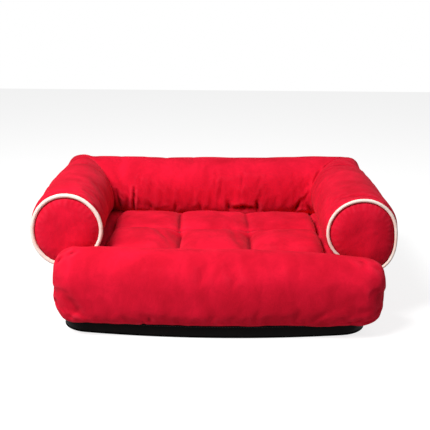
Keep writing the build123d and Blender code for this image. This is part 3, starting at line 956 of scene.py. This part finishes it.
top[..., 0] -= seams_left * over_walls * (1 - (top[..., 0] / 0.19) ** 2).clip(0)
held_top = ((abs(wide - seam_x) < 1e-4) | (deep < 1e-4)).ravel()
rim = np.zeros(top.shape[:2], bool)
rim[0] = rim[-1] = rim[:, 0] = rim[:, -1] = True
seat = skin("seat_cushion_top_cloth", top, suede, closed_ring=False)
where = points_of(seat)
held = held_top | rim.ravel()
swell(seat, (0.002 * waves(where, 0.045, 23) + 0.0008 * waves(where, 0.02, 29)) * ~held)
puff_up(seat, held, pressure=4.5, spare=0.03, reach=0.005)
where = points_of(seat)
where[:, 1] = np.minimum(where[:, 1], seat_rear + 0.0004)
put_points(seat, where)
rounder(seat)
press_folds(seat, [
    ((-0.124, -0.012, 0.122), (-0.076, -0.100, 0.116), 0.0035, 0.0060),
    ((0.020, 0.035, 0.129), (0.042, -0.110, 0.120), 0.0030, 0.0060),
    ((0.098, 0.010, 0.123), (0.082, -0.105, 0.122), 0.0020, 0.0080),
    ((-0.150, 0.060, 0.128), (-0.172, 0.020, 0.120), 0.0020, 0.0050),
])
mark_shade_and_highlight(seat)
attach(seat, "cushion")
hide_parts("cushion_top_cover", "cushion_filling")

# Plain woven polyester lining, dark red and slightly smooth, with threads 0.4 mm apart drawn at 1.2 mm.
lining, tree, shader, coords = new_material("woven_lining_cloth")
warp, weft = (bands(tree, coords, axis, 0.0012) for axis in "XY")
weave = combined(tree, "MULTIPLY", warp, weft)
finish(shader, ramp(tree, clouds(tree, coords, 24, 4), 0.3, 0.7, "#8E0F20", "#A8152A"),
       relief(tree, weave, 0.4, 0.0002), 0.6)

drop_below = side_seam_z - 0.0006 - bottom_low.z
under = pad(edge_run(seat_half - 0.0005, drop_below, lower_shoulder, {0: 52}),
            edge_run(seat_depth - 0.0005, drop_below, lower_shoulder, {0: 40}), bottom_low.z, drop_below, -1)
belly = skin("seat_cushion_bottom_cloth", under, lining, closed_ring=False)
where = points_of(belly)
rests = where[:, 2] < bottom_low.z + 0.0005
seam = where[:, 2] > side_seam_z - 0.003
where = swell(belly, 0.0012 * waves(where, 0.035, 31) * ~rests * ~seam)
where[:, 1] = np.minimum(where[:, 1], seat_rear + 0.0004)
where[:, 2] = np.maximum(where[:, 2], bottom_low.z + 0.0001)
put_points(belly, where)
rounder(belly)
mark_shade_and_highlight(belly)
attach(belly, "cushion")
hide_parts("cushion_bottom_cover")

# The same bonded thread in red.
thread = sewing_thread("red_sewing_thread", "#8F0A1C", "#C21630")
tie_width = 0.0011
tie_twist = 0.0045
ply_offset = 0.0006
knot_radius = 0.0014
tie_curve = bpy.data.curves.new("cushion_ties", "CURVE")
tie_curve.dimensions = "3D"
tie_curve.bevel_depth = tie_width / 2
tie_curve.bevel_resolution = 1
tie_curve.use_fill_caps = True
row_index = int(abs(top[:, 0, 1] - seat_middle).argmin())
for sign in (-1, 1):
    column_index = int(abs(pad_x - sign * seam_x).argmin())
    crossing = seat.closest_point_on_mesh(Vector(top[row_index, column_index]))[1]
    foot_z, head_z = bottom_low.z + tie_width, crossing.z + 0.0002
    strands = []
    for ply_number in (0, 1):
        t = np.linspace(0, 1, 160)
        angle = 2 * math.pi * t * (head_z - foot_z) / tie_twist + math.pi * ply_number
        strands.append((ply_offset * np.cos(angle), ply_offset * np.sin(angle), foot_z + (head_z - foot_z) * t))
    for knot_z in (foot_z + ply_offset, head_z):
        angle = np.linspace(0, 5 * math.pi, 40)
        strands.append(((knot_radius + 0.0003 * np.sin(angle * 0.7)) * np.cos(angle), knot_radius * np.sin(angle),
                        knot_z + 0.0005 * np.sin(angle * 0.8)))
    for x, y, z in strands:
        spline = tie_curve.splines.new("POLY")
        spline.points.add(len(x) - 1)
        spline.points.foreach_set("co", np.column_stack(
            [x + crossing.x, y + crossing.y, z, np.ones(len(x))]).ravel().astype(np.float32))
tie_line = bpy.data.objects.new("tie_line", tie_curve)
scene.collection.objects.link(tie_line)
tie_mesh = bpy.data.meshes.new_from_object(tie_line.evaluated_get(bpy.context.evaluated_depsgraph_get()))
bpy.data.objects.remove(tie_line)
ties = object_of("cushion_tie_threads", tie_mesh, thread)
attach(ties, "cushion")
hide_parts("cushion_tuft_ties")


# The zips. One nylon coil zip closes the back wall's cover behind and one the cushion's rear seam. Both have
# woven tapes, red coils, enamelled end stops and a slider, and the rear one has a pull tab.
# Woven zip tape: polyester herringbone ribs along the tape 1 mm apart.
tape, tree, shader, coords = new_material("zip_tape_weave")
rib = bands(tree, coords, "Z", 0.001, Distortion=0.6)
finish(shader, mixed(tree, rib, "#7C0B1A", "#A31228"), relief(tree, rib, 0.4, 0.0002), 0.75)


def repaint(material, *names):
    """Gives nodes of the frame that stay as they are their material."""
    for name in names:
        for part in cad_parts[name].material_slots:
            part.material = material


repaint(tape, "rear_zip_tapes", "cushion_zip_tapes")

# Extruded nylon monofilament, dyed red and wound into coils: smooth with a soft shine and faint drawing marks.
nylon, tree, shader, coords = new_material("nylon_coil")
drawn = clouds(tree, coords, 400, 2)
finish(shader, mixed(tree, drawn, "#6A0816", "#9C1128"), relief(tree, drawn, 0.2, 0.0001), 0.4)

coiling, given = new_growth("zip_coil_rows", {
    "Turns": "Float", "Length": "Float", "Half Width": "Float", "Half Height": "Float", "Wire Radius": "Float",
    "Material": "Material"})
helix = add(coiling, "GeometryNodeCurveSpiral", inputs={
    "Resolution": 10, "Rotations": given["Turns"], "Start Radius": 1, "End Radius": 1,
    "Height": given["Length"]})
flat = add(coiling, "ShaderNodeCombineXYZ", inputs={
    "X": given["Half Width"], "Y": given["Half Height"], "Z": 1})
helix = add(coiling, "GeometryNodeTransform", inputs={
    "Geometry": helix.outputs[0], "Rotation": (0, math.pi / 2, 0), "Scale": flat.outputs[0]})
wire = add(coiling, "GeometryNodeCurvePrimitiveCircle", inputs={"Resolution": 5, "Radius": given["Wire Radius"]})
wire = add(coiling, "GeometryNodeCurveToMesh", inputs={
    "Curve": helix.outputs[0], "Profile Curve": wire.outputs[0], "Fill Caps": True})
rows = add(coiling, "GeometryNodeInstanceOnPoints", inputs={
    "Points": given["Geometry"], "Instance": wire.outputs[0]})
end_growth(coiling, given, rows.outputs[0])

coil_pitch = 0.002
stitch_inset = 0.0015
wire_radius = 0.00042
for zip_name, body_name in (("rear_zip", "shell"), ("cushion_zip", "cushion")):
    low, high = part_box(zip_name + "_coil_rows")
    middle_z = (low.z + high.z) / 2
    half_row = (high.z - middle_z) / 2
    turn_count = int((high.x - low.x) / coil_pitch) - 1
    ends = [(low.x + wire_radius, (low.y + high.y) / 2, middle_z + half_row),
            (low.x + wire_radius + coil_pitch / 2, (low.y + high.y) / 2, middle_z - half_row)]
    coil = grown(zip_name + "_nylon_coils", ends, coiling, {
        "Turns": float(turn_count), "Length": turn_count * coil_pitch, "Half Width": half_row - wire_radius,
        "Half Height": (high.y - low.y) / 2 - wire_radius, "Wire Radius": wire_radius, "Material": nylon})
    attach(coil, body_name)
    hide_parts(zip_name + "_coil_rows")

    low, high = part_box(zip_name + "_tapes")
    for edge_name, z in (("lower", low.z + stitch_inset), ("upper", high.z - stitch_inset)):
        stitches = grown(f"{zip_name}_{edge_name}_stitches",
                         [(low.x + 0.002, high.y, z), (high.x - 0.002, high.y, z)], stitching,
                         {"Spacing": 0.0034, "Stitch Length": 0.0026, "Thread Width": 0.0006, "Material": thread},
                         joined=True)
        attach(stitches, body_name)

# Enamelled zinc die casting: baked paint, glossy, worn to bare metal only in specks.
enamel, tree, shader, coords = new_material("enamelled_zinc")
worn = ranged(tree, clouds(tree, coords, 1300, 3), From_Min=0.71, From_Max=0.74)
feed(shader, {"Base Color": mixed(tree, worn, "#8A1022", "#B9B4AE"), "Metallic": worn, "Roughness": 0.35})
repaint(enamel, "rear_zip_end_stops", "cushion_zip_end_stops", "rear_zip_slider", "cushion_zip_slider",
        "rear_zip_pull_tab")
